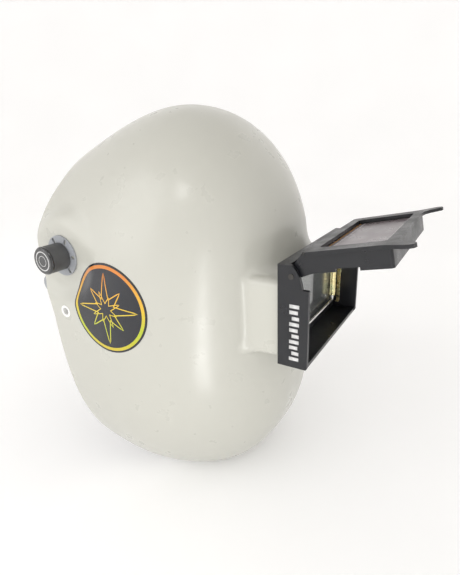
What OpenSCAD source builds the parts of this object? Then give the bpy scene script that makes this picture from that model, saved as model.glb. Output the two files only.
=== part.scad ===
// Pipeliner-style welding helmet: a fibreglass bowl with a lift-front lens holder,
// worn on a ratchet headgear that the bowl swings up on.
// Origin: middle of the axis through the two headgear pivots. +Z up, the lens faces -Y,
// +X is the wearer's left.

/* [Shell] */
// Width of the shell over its widest ring
shell_w = 221; // [216:1:226]
// Height of the crown above the widest level
crown_h = 171.5; // [166:1:176]
// Depth of the chin below the widest level
chin_h = 165.4; // [158:1:172]
// Thickness of the laminate
wall = 3; // [2.5:0.1:3.4]
// Distance of the shell's front ahead of the pivots
face_y = 168.4; // [166:0.2:170]

/* [Lens holder] */
// Outer width of the holder
holder_w = 126; // [124:1:128]
// Outer height of the holder
holder_h = 78.4; // [76:0.2:80]
// Width of the filter lens, the standard 4 1/4 inch
lens_w = 108; // [107:0.5:108]
// Height of the filter lens, the standard 2 inch
lens_h = 50.8; // [50:0.2:51]
// Angle that the lid is open at rest
lid_open = 101.4; // [95:0.2:103]

/* [Headgear] */
// Half width of the headband's inside
band_a = 78; // [75:0.5:79]
// Height of the headband
band_h = 26; // [22:1:28]
// Top of the crown straps above the pivots
crown_top = 82; // [78:1:83]
// Diameter of the tension knobs
knob_d = 23; // [22:1:26]

/* [Hidden] */

// Gap left between curved faces of different moving pieces
gap = 0.3;
// Radial clearance of a shaft that turns in a bore
run = 0.05;

// The shell: a ring for every level, closed round the head. Each list holds values at even
// steps from the crown, down the side, to the chin.
hub_z = -57.6;
crown_n = 2.18;
chin_n = 3.12;
rim_y = [1.4, 3.5, 18.6, 32.5, 19.6, 7.2, -11.4, -53.8, -83.1];
rim_k = [0.867, 0.904, 0.944, 0.99, 0.988, 0.993, 0.987, 0.977, 0.97];
widest_y = [-63, -70.1, -41, -38.6, -92.7];
front_p = [2.5, 2, 3.28];
front_q = [1.97, 2, 1.6];
pad_x = 103.5;
pad_r = 24;

// The nose that the lens holder stands on
nose_w = 118;
nose_h = 61.4;
nose_r = 6;
nose_z = -42.3;
nose_y = -176;
nose_draft = 2;
lip = 4;

// The lens holder and its stack of lenses, from the back to the front
holder_y = nose_y;
holder_z = -36;
holder_t = 3;
holder_front = -199.2;
flange_y = -177.9;
tray_y = -171.5;
ledge_y = -174;
gasket_t = 0.9;
step_z = -13.9;
holder_x = holder_w / 2;
holder_bottom = holder_z - holder_h / 2;
holder_top = holder_z + holder_h / 2;

// The lid, measured from its hinge: s runs down and n runs forward when it is closed
hinge_y = -186.2;
hinge_z = -4.7;
hinge_r = 1.5;
barrel_r = 4;
plate_n = 13.25;
plate_t = 2.5;
skirt_x = 58.7;
skirt_t = 2.2;
skirt_s = 66.8;
lid_lens_s = 39;

// The lens bail, a U of wire hinged below the holder's top
wire_r = 1.2;
bail_x = 46.5;
bail_y = -180.9;
bail_z = -61.6;
bail_top = -8;
bail_bend = 4;
sleeve_r = 2.7;

// Pivot stack, by distance from the middle plane
stud_r = 3;
arm_x0 = 95.5;
arm_x1 = 98.5;
outer_x = pad_x + 1.6;
knob_x0 = outer_x + gap;
knob_x1 = 120.4;
core_x = 116;
core_r = 5.5;
stud_x = 118;
slot_r = 13.6;
stop_y = 1;
stop_z = -48;
peg_y = 12.2;
peg_z = -28.5;
stop_x = 109.6;

// Headgear
band_t = 1.6;
band_front = 88;
band_cy = -10;
band_end = 36;
band_tilt = -14;
band_z = 6;
rear_cy = 40;
rear_b = 60;

// --- small helpers -------------------------------------------------------------------

function mix(a, b, t) = a + (b - a) * t;
function spow(v, e) = (v < 0 ? -1 : 1) * pow(abs(v), e);
function smooth(t) = let(u = min(max(t, 0), 1)) u * u * (3 - 2 * u);
// Value j of a list that is mirrored past both ends
function knot(c, j) = let(m = len(c) - 1) c[j < 0 ? -j : j > m ? 2 * m - j : j];
// Smooth curve through the values of c, spread from the crown (0) to the chin (180)
function curve(c, a) =
    let(u = a * (len(c) - 1) / 180, i = min(floor(u), len(c) - 2), f = u - i,
        p0 = knot(c, i - 1), p1 = knot(c, i), p2 = knot(c, i + 1), p3 = knot(c, i + 2))
    0.5 * (2 * p1 + (p2 - p0) * f + (2 * p0 - 5 * p1 + 4 * p2 - p3) * f * f
           + (3 * p1 - p0 - 3 * p2 + p3) * f * f * f);
// Corner points of a rectangle with round corners
function round_rect(w, h, r, cx = 0, cy = 0, n = 5) =
    [for (q = [0:3]) for (i = [0:n]) let(a = q * 90 + 90 * i / n,
        sx = (q == 0 || q == 3) ? 1 : -1, sy = q < 2 ? 1 : -1)
        [cx + sx * (w / 2 - r) + r * cos(a), cy + sy * (h / 2 - r) + r * sin(a)]];
function reverse(c) = [for (i = [len(c) - 1:-1:0]) c[i]];

// Extrudes an XZ outline from y0 to y1
module along_y(y0, y1) translate([0, y1, 0]) rotate([90, 0, 0]) linear_extrude(y1 - y0) children();
// Extrudes a YZ outline from x0 to x1
module along_x(x0, x1) translate([x0, 0, 0]) rotate([90, 0, 90]) linear_extrude(x1 - x0) children();
// A round bar along X
module rod_x(x0, x1, y, z, r, fn = 32)
    translate([x0, y, z]) rotate([0, 90, 0]) cylinder(r = r, h = x1 - x0, $fn = fn);
// A round bar along Y
module rod_y(y0, y1, x, z, r, fn = 32)
    translate([x, y0, z]) rotate([-90, 0, 0]) cylinder(r = r, h = y1 - y0, $fn = fn);
// The same piece on both sides of the middle plane
module both_sides() {
    children();
    mirror([1, 0, 0]) children();
}
// A flat ring with round-cornered outlines
module frame_ring(w, h, r, in_w, in_h, in_r, cz)
    difference() {
        polygon(round_rect(w, h, r, 0, cz));
        polygon(round_rect(in_w, in_h, in_r, 0, cz));
    }
// A bar with round ends between two points
module capsule(a, b, r) {
    l = norm(b - a);
    translate(a) rotate(atan2(b[1] - a[1], b[0] - a[0])) {
        circle(r, $fn = 40);
        translate([l, 0]) circle(r, $fn = 40);
        translate([0, -r]) square([l, 2 * r]);
    }
}

// --- shell -----------------------------------------------------------------------------

// Point of the bowl: th goes round from the crown, w is -1 at the rim, 0 on the widest
// ring and 1 at the pole in front, and t is the depth below the outer face.
function bowl(th, w, t) =
    let(n = cos(th) > 0 ? crown_n : chin_n, h = (cos(th) > 0 ? crown_h : chin_h) - t,
        x = (shell_w / 2 - t) * spow(sin(th), 2 / n), z = h * spow(cos(th), 2 / n),
        y_mid = curve(widest_y, abs(th)), y_rim = curve(rim_y, abs(th)),
        ph_rim = acos(curve(rim_k, abs(th))),
        p = curve(front_p, abs(th)), q = curve(front_q, abs(th)),
        ph = w < 0 ? -w * ph_rim : w * 90,
        rho = w < 0 ? cos(ph) : pow(cos(ph), 2 / p),
        y = w < 0 ? mix(y_mid, y_rim, sin(ph) / sin(ph_rim))
                  : mix(y_mid, t - face_y, pow(sin(ph), 2 / q)))
    pad([x * rho, y, hub_z + z * rho], t);
// Levels the shell round each pivot, so that the washers lie flat
function pad(p, t) =
    let(w = smooth((1.75 - norm([p[1], p[2]]) / pad_r) / 0.7))
    [mix(p[0], sign(p[0]) * (pad_x - t), w), p[1], p[2]];
// Loop of points round the nose, clockwise from the top left
nx = 7;
nz = 5;
nc = 2;
function arc_pts(cx, cz, r, a) =
    [for (i = [1:nc]) let(b = a - 90 * i / (nc + 1)) [cx + r * cos(b), cz + r * sin(b)]];
function nose_loop(t, y) =
    let(g = nose_draft * (y - nose_y) / 30, w = nose_w / 2 - t + g, h = nose_h / 2 - t + g / 2,
        r = nose_r - t / 2, u = w - r, v = h - r)
    concat([for (i = [0:2 * nx]) [mix(-u, u, i / 2 / nx), h]], arc_pts(u, v, r, 90),
           [for (i = [0:2 * nz]) [w, mix(v, -v, i / 2 / nz)]], arc_pts(u, -v, r, 0),
           [for (i = [0:2 * nx]) [mix(u, -u, i / 2 / nx), -h]], arc_pts(-u, -v, r, -90),
           [for (i = [0:2 * nz]) [-w, mix(-v, v, i / 2 / nz)]], arc_pts(-u, v, r, 180));
base = nose_loop(0, nose_y + 30);
cols = len(base);
// Direction of each column of points seen from the hub: as the nose needs it in front, and
// evenly spread at the rim
nose_psi = [for (i = [0:cols - 1]) let(p = base[i])
    atan2(p[0], p[1] + nose_z - hub_z) + (i > nx + cols / 2 ? 360 : 0)];
rim_psi = [for (i = [0:cols - 1]) (i - nx) * 360 / cols];
// Ring angle of a direction
function ring_th(a) = let(n = cos(a) > 0 ? crown_n : chin_n, h = cos(a) > 0 ? crown_h : chin_h)
    atan2(spow(sin(a) / shell_w * 2, n / 2), spow(cos(a) / h, n / 2));
function ring_r(th, t) = let(p = bowl(th, 0, t)) norm([p[0], p[2] - hub_z]);
// Level at which a column is r away from the hub
function level(th, r, t) =
    acos(pow(min(r / ring_r(th, t), 1), curve(front_p, abs(th)) / 2)) / 90;
reach = [for (p = base) norm([p[0], p[1] + nose_z - hub_z])];
// Width of the blend into the nose: crisp at its corners and beside it, a little softer below
// it, and broad above it away from the corners
blend = [for (p = base)
    p[1] > nose_h / 2 - 1 ? 4 + 24 * smooth((nose_w / 2 - abs(p[0])) / 24)
                          : 4 + 5 * smooth((-p[1] / nose_h * 2 - 0.55) / 0.45)];
rear_rows = 8;
front_rows = 9;
blend_rows = 4;
function bezier(a, b, c, t) = mix(mix(a, b, t), mix(b, c, t), t);
// One column of the outer face (t = 0) or of the inner face, from the rim to the nose's front
function column(i, t) =
    let(th = ring_th(nose_psi[i]), w1 = level(th, reach[i] + blend[i], t),
        y0 = bowl(th, level(th, reach[i], t), t)[1],
        fall = min(blend[i], 0.6 * (y0 - nose_y)),
        c = nose_loop(t, y0)[i], d = nose_loop(t, y0 - fall)[i],
        a = bowl(th, w1, t), b = [c[0], y0, c[1] + nose_z], e = [d[0], y0 - fall, d[1] + nose_z])
    concat([for (k = [0:rear_rows]) bowl(ring_th(rim_psi[i]), k / rear_rows - 1, t)],
           [for (k = [1:front_rows]) let(u = k / front_rows)
               bowl(ring_th(mix(rim_psi[i], nose_psi[i], smooth(u))), w1 * u, t)],
           [for (k = [1:blend_rows]) bezier(a, b, e, k / blend_rows)]);
function mouth(i, t, y) = let(p = nose_loop(t, nose_y)[i]) [p[0], y, p[1] + nose_z];

module shell() color("ivory") difference() {
    strips = [for (i = [0:cols - 1]) concat(column(i, 0), [mouth(i, 0, nose_y)],
        [mouth(i, wall, nose_y), mouth(i, wall, nose_y + lip), mouth(i, wall - 0.9, nose_y + lip + 0.3)],
        reverse(column(i, wall)))];
    rows = len(strips[0]);
    polyhedron([for (s = strips) each s],
        [for (i = [0:cols - 1]) for (j = [0:rows - 1])
            let(i1 = (i + 1) % cols, j1 = (j + 1) % rows,
                a = i * rows + j, b = i1 * rows + j, c = i1 * rows + j1, d = i * rows + j1)
            each [[a, b, c], [a, c, d]]]);
    rod_x(-pad_x - 9, pad_x + 9, 0, 0, stud_r + run);
    both_sides() rod_x(90, 125, stop_y, stop_z, 4.3);
}

// Round badges, which lie on the curve of the shell's sides
badge_y = -50;
badge_z = -37;
badge_r = 37;
// Ring angle at which the side of the bowl passes through y and z, found by halving
function side_level(th, y, t) =
    let(y_mid = curve(widest_y, abs(th)), q = curve(front_q, abs(th)))
    asin(pow(min(max((y_mid - y) / (y_mid + face_y - t), 0), 1), q / 2)) / 90;
function rear_level(th, y) =
    let(y_mid = curve(widest_y, abs(th)), y_rim = curve(rim_y, abs(th)),
        ph_rim = acos(curve(rim_k, abs(th))))
    -asin(min((y - y_mid) / (y_rim - y_mid) * sin(ph_rim), 1)) / ph_rim;
function side_point(th, y, t) =
    bowl(th, y > curve(widest_y, abs(th)) ? rear_level(th, y) : side_level(th, y, t), t);
function side_at(y, z, t, lo = 40, hi = 140, k = 0) =
    let(m = (lo + hi) / 2, p = side_point(m, y, t))
    k == 20 ? p : p[2] > z ? side_at(y, z, t, m, hi, k + 1) : side_at(y, z, t, lo, m, k + 1);
badge_rings = 4;
badge_n = 36;
module badge() {
    layer = function(t) concat([side_at(badge_y, badge_z, t)],
        [for (j = [1:badge_rings]) for (i = [0:badge_n - 1])
            let(r = badge_r * j / badge_rings, a = 360 * i / badge_n)
            side_at(badge_y + r * cos(a), badge_z + r * sin(a), t)]);
    n = 1 + badge_rings * badge_n;
    at = function(j, i, o) o + 1 + (j - 1) * badge_n + i % badge_n;
    skin = function(o) concat([for (i = [0:badge_n - 1]) [o, at(1, i, o), at(1, i + 1, o)]],
        [for (j = [2:badge_rings]) for (i = [0:badge_n - 1])
            each [[at(j - 1, i, o), at(j, i, o), at(j, i + 1, o)],
                  [at(j - 1, i, o), at(j, i + 1, o), at(j - 1, i + 1, o)]]]);
    outer = skin(0);
    inner = [for (f = skin(n)) reverse(f)];
    edge = [for (i = [0:badge_n - 1]) let(j = badge_rings)
        each [[at(j, i, 0), at(j, i, n), at(j, i + 1, n)], [at(j, i, 0), at(j, i + 1, n), at(j, i + 1, 0)]]];
    polyhedron(concat(layer(-0.7), layer(-0.25)), [for (f = concat(outer, inner, edge)) reverse(f)]);
}
module side_roundels() color([0.1, 0.1, 0.12]) both_sides() badge();

module stop_eyelets() color("white") both_sides() difference() {
    union() {
        rod_x(stop_x - 5.4, stop_x + 0.6, stop_y, stop_z, 4.3);
        rod_x(stop_x, stop_x + 0.6, stop_y, stop_z, 5.4);
    }
    rod_x(stop_x - 7, stop_x + 2, stop_y, stop_z, 3.25);
}
module stop_pegs() color("dimgray") both_sides() {
    rod_x(arm_x0 - 0.5, pad_x - wall, peg_y, peg_z, 3.6);
    rod_x(arm_x0 - 1.5, arm_x0 - 0.5, peg_y, peg_z, 4.6);
}
module outer_washers() color([0.6, 0.61, 0.63]) both_sides() difference() {
    rod_x(pad_x, outer_x, 0, 0, 17, 64);
    rod_x(pad_x - 1, outer_x + 1, 0, 0, stud_r + 2 * run);
    along_x(pad_x - 1, outer_x + 1)
        for (k = [0:5]) rotate(60 * k) translate([slot_r, 0]) polygon(round_rect(5.2, 2.6, 1.2));
}

// --- lens holder ------------------------------------------------------------------------

// Side of the holder: its upper front corner is swept back to clear the lid's arms
function holder_side() =
    let(a = [-186.1, holder_top], b = [-192.4, holder_top - 4], c = [-194.6, step_z], r = 2, n = 6)
    concat([[holder_y, holder_bottom], [holder_y, holder_top]],
           [for (i = [0:n]) bezier(a, b, c, i / n)],
           [[holder_front, step_z],
            for (i = [0:n]) let(t = 90 * i / n)
                [holder_front + r - r * cos(t), holder_bottom + r - r * sin(t)]]);
module lens_holder() color([0.13, 0.13, 0.14]) difference() {
    union() {
        both_sides() along_x(holder_x - holder_t, holder_x) polygon(holder_side());
        translate([-holder_x, holder_front + 1, holder_bottom])
            cube([holder_w, holder_y - holder_front - 1, holder_t]);
        translate([-holder_x, -184.2, holder_top - holder_t]) cube([holder_w, 184.2 + holder_y, holder_t]);
        along_y(flange_y, holder_y) polygon(round_rect(holder_w - 1, holder_h - 1, 2, 0, holder_z));
        along_y(holder_y - 0.1, tray_y) polygon(round_rect(111.4, 54.8, 5.4, 0, nose_z));
    }
    along_y(flange_y - 1, ledge_y) polygon(round_rect(lens_w + 1, lens_h + 1, 1.2, 0, nose_z));
    along_y(ledge_y - 1, tray_y + 1) polygon(round_rect(98, 43, 3, 0, nose_z));
    both_sides() {
        rod_x(holder_x - 5, holder_x + 2, hinge_y, hinge_z, hinge_r);
        rod_x(holder_x - 5, holder_x - 0.6, bail_y, bail_top, wire_r + run);
        for (z = [-18, 18]) rod_y(ledge_y - 1, tray_y + 1, 52.4, nose_z + z, 1.1);
    }
}
module backing_frame() color([0.16, 0.16, 0.17]) difference() {
    along_y(tray_y, tray_y + 3) frame_ring(112.6, 56, 5.6, 98, 43, 3, nose_z);
    both_sides() for (z = [-18, 18]) rod_y(tray_y - 1, tray_y + 4, 52.4, nose_z + z, 1.3);
}
module holder_screws() color("silver") both_sides() for (z = [-18, 18]) {
    rod_y(ledge_y + 0.3, tray_y + 3, 52.4, nose_z + z, 1.1);
    rod_y(tray_y + 3, tray_y + 4.6, 52.4, nose_z + z, 2.3);
}
module lens_gasket() color([0.1, 0.1, 0.1])
    along_y(ledge_y - gasket_t, ledge_y) frame_ring(lens_w, lens_h, 1, 99, 44, 3, nose_z);
module clear_lens() color([0.75, 0.8, 0.8])
    along_y(ledge_y - gasket_t - 3, ledge_y - gasket_t) polygon(round_rect(lens_w, lens_h, 1, 0, nose_z));
// Brass leaf springs with a curled tip that the closed lid's skirt snaps past
module leaf_springs() color([0.72, 0.6, 0.34]) both_sides() {
    translate([57, -184.4, -64]) cube([0.9, 3, 32]);
    translate([57.9, -184.4, -38]) cube([holder_x - holder_t - 57.9, 3, 6]);
    translate([55.3, -184.4, -64]) rotate([-90, 0, 0]) rotate_extrude(angle = 150, $fn = 32)
        translate([1.7, 0]) square([0.9, 3]);
}
module lid_hinge_pins() color("silver") both_sides() {
    rod_x(48, holder_x, hinge_y, hinge_z, hinge_r);
    rod_x(holder_x, holder_x + 0.5, hinge_y, hinge_z, 2.1);
}
// The bail's wire: a bar below the lens, two legs and two ends turned out into the walls
module lens_bail() color("silver") {
    x = bail_x - bail_bend;
    rod_x(-x, x, bail_y, bail_z, wire_r);
    both_sides() {
        translate([x, bail_y, bail_z + bail_bend]) rotate([90, 0, 0]) rotate([0, 0, -90])
            rotate_extrude(angle = 90, $fn = 40) translate([bail_bend, 0]) circle(wire_r, $fn = 32);
        translate([bail_x, bail_y, bail_z + bail_bend])
            cylinder(r = wire_r, h = bail_top - bail_z - 2 * bail_bend, $fn = 32);
        translate([bail_x + bail_bend, bail_y, bail_top - bail_bend]) rotate([90, 0, 0])
            rotate([0, 0, 90]) rotate_extrude(angle = 90, $fn = 40)
            translate([bail_bend, 0]) circle(wire_r, $fn = 32);
        rod_x(bail_x + bail_bend, holder_x - 0.8, bail_y, bail_top, wire_r);
    }
}
module bail_sleeves() color([0.74, 0.62, 0.36]) both_sides()
    translate([bail_x, bail_y, bail_z + 5]) difference() {
        cylinder(r = sleeve_r, h = 36, $fn = 40);
        translate([0, 0, -1]) cylinder(r = wire_r, h = 38, $fn = 32);
    }

// --- lid, drawn closed and turned up about its hinge -----------------------------------------

module lid_place() translate([0, hinge_y, hinge_z]) rotate([-lid_open, 0, 0]) children();
// Extrudes an outline drawn in x and s from depth n0 to n1
module lid_sheet(n0, n1) rotate([90, 0, 0]) translate([0, 0, n0]) mirror([0, 1, 0])
    linear_extrude(n1 - n0) children();
// Extrudes an outline drawn in n and s between two widths
module lid_side(x0, x1) translate([x0, 0, 0]) rotate([90, 0, 90]) mirror([0, 1, 0])
    mirror([1, 0, 0]) linear_extrude(x1 - x0) children();
// Half of the plate's edge: square at the hinge, with a finger ear at the free corner
half_plate = [[0, 68.6], [46, 68.6], [52, 69.8], [56.4, 73.2], [59.4, 78], [61.4, 80.6], [64.2, 81.4],
              [66.9, 80.2], [67.7, 77.4], [66.8, 73.8], [64.8, 69], [63, 64.4], [62.2, 59], [62.2, 12],
              [60.2, 10], [0, 10]];
module lid_frame() color([0.14, 0.14, 0.15]) lid_place() difference() {
    union() {
        lid_sheet(plate_n, plate_n + plate_t) both_halves() polygon(half_plate);
        lid_sheet(0, plate_n + 1) difference() {
            polygon(round_rect(2 * skirt_x, skirt_s - 10, 2.4, 0, (skirt_s + 10) / 2));
            polygon(round_rect(2 * (skirt_x - skirt_t), skirt_s - 10, 1.5, 0, (skirt_s + 10) / 2 - skirt_t));
        }
        lid_side(-skirt_x, skirt_x)
            polygon([[3.2, -2.5], [plate_n + plate_t, 10], [plate_n, 13.2], [2.8, 3]]);
        for (m = [0, 1]) mirror([m, 0, 0]) lid_side(skirt_x - skirt_t, skirt_x)
            polygon([[-2.9, 2.7], [3, -2.6], [plate_n + 1, 10], [plate_n + 1, 14], [0, 14]]);
        rod_x(-59.4, 59.4, 0, 0, barrel_r, 48);
    }
    lid_sheet(plate_n - 4, plate_n + plate_t + 1) polygon(round_rect(100, 44, 3, 0, 40));
    lid_sheet(-1, 2.2) polygon([[-70, 30], [-50, 30], [-50, 46], [-70, 46]]);
    lid_sheet(-1, 2.2) polygon([[70, 30], [50, 30], [50, 46], [70, 46]]);
    both_sides() rod_x(46, 62, 0, 0, hinge_r + run);
}
module both_halves() {
    children();
    mirror([1, 0]) children();
}
lens_n = plate_n - 0.15;
module lid_gasket() color([0.1, 0.1, 0.1]) lid_place()
    lid_sheet(lens_n - 0.8, lens_n) frame_ring(lens_w + 2, lens_h, 1.5, 101, 45, 3, lid_lens_s + 0.2);
module lid_cover_lens() color([0.62, 0.58, 0.6]) lid_place()
    lid_sheet(lens_n - 2.3, lens_n - 0.8) polygon(round_rect(lens_w, lens_h - 0.4, 1, 0, lid_lens_s));
module shade_lens() color([0.2, 0.25, 0.2]) lid_place()
    lid_sheet(lens_n - 5.4, lens_n - 2.4) polygon(round_rect(lens_w, lens_h - 0.4, 1, 0, lid_lens_s));
module lid_lens_clip() color("silver") lid_place()
    lid_sheet(lens_n - 6.8, lens_n - 5.4)
        frame_ring(2 * (skirt_x - skirt_t) - 0.1, lens_h - 1.4, 4, 106, 44, 5, lid_lens_s + 0.4);

// --- headgear ------------------------------------------------------------------------------

module tilted() rotate([band_tilt, 0, 0]) translate([0, 0, band_z]) children();
// Outline of a band from side to side round the front, or round the back when b is negative
function sweep(a, b, cy, from, to, n = 36) =
    [for (i = [0:n]) let(t = mix(from, to, i / n)) [a * sin(t), cy - b * cos(t)]];
module headband() color([0.2, 0.2, 0.21]) tilted() difference() {
    translate([0, 0, -band_h / 2]) linear_extrude(band_h) polygon(concat(
        [[-band_a - band_t, band_end]], sweep(band_a + band_t, band_front + band_t, band_cy, -90, 90),
        [[band_a + band_t, band_end], [band_a, band_end]],
        sweep(band_a, band_front, band_cy, 90, -90), [[-band_a, band_end]]));
    // Slots for size marks and air along the front
    for (t = [-60:15:60]) rotate([0, 0, t]) translate([0, -70, 0]) rotate([90, 0, 0])
        linear_extrude(60) polygon(round_rect(9, 3, 1.4, 0, 7.5));
}
module sweatband() color([0.25, 0.25, 0.27]) tilted()
    translate([0, 0, -band_h / 2 - 1]) linear_extrude(band_h + 2) polygon(concat(
        sweep(band_a - gap, band_front - gap, band_cy, -62, 62),
        sweep(band_a - 5, band_front - 5, band_cy, 62, -62)));
// A strap that arches over the head, between two angles from the wearer's left side
module arch(a, top, y0, y1, from, to, t = 1.4, n = 32)
    along_y(y0, y1) polygon(concat(
        [for (i = [0:n]) let(u = mix(from, to, i / n)) [a * cos(u), band_z + top * sin(u)]],
        [for (i = [n:-1:0]) let(u = mix(from, to, i / n)) [(a - t) * cos(u), band_z + (top - t) * sin(u)]]));
strap_a = band_a - gap;
strap_top = crown_top - band_z;
module crown_strap_left() color([0.2, 0.2, 0.21]) difference() {
    arch(strap_a, strap_top, -10, 8, -6, 99);
    translate([0, -1, 0]) cylinder(r = 2, h = 100, $fn = 24);
}
module crown_strap_right() color([0.2, 0.2, 0.21]) difference() {
    arch(strap_a, strap_top - 1.6, -10, 8, 81, 186);
    translate([0, -1, 0]) cylinder(r = 2, h = 100, $fn = 24);
}
module crown_pin() color([0.12, 0.12, 0.12]) translate([0, -1, 0]) {
    translate([0, 0, crown_top - 3.1]) cylinder(r = 2, h = 3.2, $fn = 24);
    translate([0, 0, crown_top]) cylinder(r = 4.5, h = 1.5, $fn = 32);
    translate([0, 0, crown_top - 4.6]) cylinder(r = 4.5, h = 1.5, $fn = 32);
}
module rear_crown_strap() color([0.2, 0.2, 0.21]) arch(strap_a, strap_top - 8, 26, 42, -12, 192);
arm_front = [-22, 4];
arm_tip = [34, -32];
module pivot_arm() difference() {
    union() {
        along_x(arm_x0, arm_x1) {
            capsule([0, 0], arm_front, 9);
            capsule([0, 0], arm_tip, 8);
            circle(12, $fn = 48);
        }
        rod_x(band_a + band_t, arm_x0, arm_front[0], arm_front[1], 5);
    }
    rod_x(arm_x0 - 1, arm_x1 + 1, 0, 0, stud_r);
}
module right_pivot_arm() color([0.45, 0.46, 0.48]) mirror([1, 0, 0]) pivot_arm();
module left_pivot_arm() color([0.45, 0.46, 0.48]) pivot_arm();
module band_rivets() color("silver") both_sides() {
    rod_x(band_a - 2.6, band_a - 1.5, arm_front[0], arm_front[1], 3.2);
    rod_x(arm_x1, arm_x1 + 1, arm_front[0], arm_front[1], 3.2);
}
module pivot_studs() color("silver") both_sides() {
    rod_x(arm_x0, stud_x, 0, 0, stud_r, 40);
    rod_x(arm_x0 - 3.4, arm_x0, 0, 0, 7, 40);
}
module inner_washers() color([0.3, 0.25, 0.2]) both_sides() difference() {
    rod_x(arm_x1, pad_x - wall - gap, 0, 0, 13, 48);
    rod_x(arm_x1 - 1, pad_x, 0, 0, stud_r + run);
}
// Tension knob: a plain barrel with a brass core and a gloss end cap
module knob_body() difference() {
    rod_x(knob_x0, knob_x1, 0, 0, knob_d / 2 - 0.2, 64);
    rod_x(knob_x0 - 1, core_x, 0, 0, core_r, 40);
    rod_x(core_x - 1, stud_x + 2, 0, 0, stud_r + 0.6, 32);
}
module knob_cap() {
    rod_x(knob_x1, knob_x1 + 1.2, 0, 0, knob_d / 2, 64);
    translate([knob_x1 + 1.2, 0, 0]) rotate([0, 90, 0])
        cylinder(r1 = knob_d / 2, r2 = knob_d / 2 - 1.2, h = 1.2, $fn = 64);
}
module knob_insert() difference() {
    rod_x(knob_x0 + 0.2, core_x, 0, 0, core_r, 40);
    rod_x(knob_x0 - 1, core_x + 1, 0, 0, stud_r + run);
}
module right_knob_body() color([0.3, 0.3, 0.31]) mirror([1, 0, 0]) knob_body();
module right_knob_cap() color([0.08, 0.08, 0.08]) mirror([1, 0, 0]) knob_cap();
module right_knob_insert() color([0.72, 0.6, 0.34]) mirror([1, 0, 0]) knob_insert();
module left_knob_body() color([0.3, 0.3, 0.31]) knob_body();
module left_knob_cap() color([0.08, 0.08, 0.08]) knob_cap();
module left_knob_insert() color([0.72, 0.6, 0.34]) knob_insert();

// --- rear size adjuster, which slides along the tilted band -----------------------------------

rear_a = band_a + band_t + 0.5;
module rear_band() color([0.2, 0.2, 0.21]) tilted() difference() {
    translate([0, 0, -11]) linear_extrude(22) polygon(concat(
        [[rear_a + band_t, 13]], sweep(rear_a + band_t, -rear_b - band_t, rear_cy, 90, -90),
        [[-rear_a - band_t, 13], [-rear_a, 13]],
        sweep(rear_a, -rear_b, rear_cy, -90, 90), [[rear_a, 13]]));
    rod_y(90, 110, 0, 0, 4.2, 32);
}
rear_y = rear_cy + rear_b + band_t;
module nape_pad() color([0.25, 0.25, 0.27]) tilted()
    translate([0, 0, -12]) linear_extrude(24) polygon(concat(
        sweep(rear_a - gap, -rear_b + gap, rear_cy, -34, 34),
        sweep(rear_a - 5.5, -rear_b + 5.5, rear_cy, 34, -34)));
module ratchet_housing() color([0.15, 0.15, 0.16]) tilted() difference() {
    along_y(rear_y - 0.4, rear_y + 11) polygon(round_rect(64, 32, 8));
    along_y(rear_y + 2, rear_y + 12) polygon(round_rect(59, 27, 6));
    rod_y(rear_y - 2, rear_y + 4, 0, 0, 3 + run);
    translate([0, rear_cy, -20]) rear_curve();
}
// The band's own curve, taken out of the housing's front so that it fits round the band
module rear_curve() linear_extrude(40) polygon(sweep(rear_a + band_t, -rear_b - band_t, 0, -60, 60));
module ratchet_cover() color([0.15, 0.15, 0.16]) tilted() difference() {
    along_y(rear_y + 11, rear_y + 13) polygon(round_rect(64, 32, 8));
    rod_y(rear_y + 10, rear_y + 14, 0, 0, 5 + run);
}
module ratchet_spring() color("silver") tilted() difference() {
    along_y(rear_y + 7, rear_y + 7.8) polygon(round_rect(44, 20, 4));
    rod_y(rear_y + 6, rear_y + 9, 0, 0, 6.2);
    for (x = [-15, 15]) along_y(rear_y + 6, rear_y + 9) polygon(round_rect(9, 12, 2, x, 0));
}
module ratchet_pinion() color([0.85, 0.85, 0.8]) tilted() {
    rod_y(rear_y - 1, rear_y + 2.4, 0, 0, 3);
    along_y(rear_y + 2.4, rear_y + 6.6) {
        circle(6.4, $fn = 40);
        for (k = [0:11]) rotate(30 * k)
            polygon([[5.5, -1.6], [8.6, -0.7], [8.6, 0.7], [5.5, 1.6]]);
    }
    rod_y(rear_y + 6.6, rear_y + 14, 0, 0, 5, 40);
}
module ratchet_knob() color([0.1, 0.1, 0.1]) tilted() difference() {
    union() {
        rod_y(rear_y + 13.3, rear_y + 25, 0, 0, 18, 64);
        along_y(rear_y + 14, rear_y + 24)
            for (k = [0:17]) rotate(20 * k) translate([17.2, -1.6]) square([2, 3.2]);
    }
    rod_y(rear_y + 12, rear_y + 14, 0, 0, 5, 40);
}

shell();
side_roundels();
stop_eyelets();
stop_pegs();
outer_washers();
lens_holder();
backing_frame();
holder_screws();
lens_gasket();
clear_lens();
leaf_springs();
lid_hinge_pins();
lens_bail();
bail_sleeves();
lid_frame();
lid_gasket();
lid_cover_lens();
shade_lens();
lid_lens_clip();
headband();
sweatband();
crown_strap_right();
crown_strap_left();
crown_pin();
rear_crown_strap();
band_rivets();
right_pivot_arm();
left_pivot_arm();
pivot_studs();
inner_washers();
right_knob_body();
right_knob_cap();
right_knob_insert();
left_knob_body();
left_knob_cap();
left_knob_insert();
rear_band();
nape_pad();
ratchet_housing();
ratchet_cover();
ratchet_spring();
ratchet_knob();
ratchet_pinion();
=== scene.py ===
"""Looks of a pipeliner-style welding helmet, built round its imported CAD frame."""
import math

import bmesh
import bpy
import numpy as np
from mathutils import Matrix, Vector
from mathutils.bvhtree import BVHTree


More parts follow.
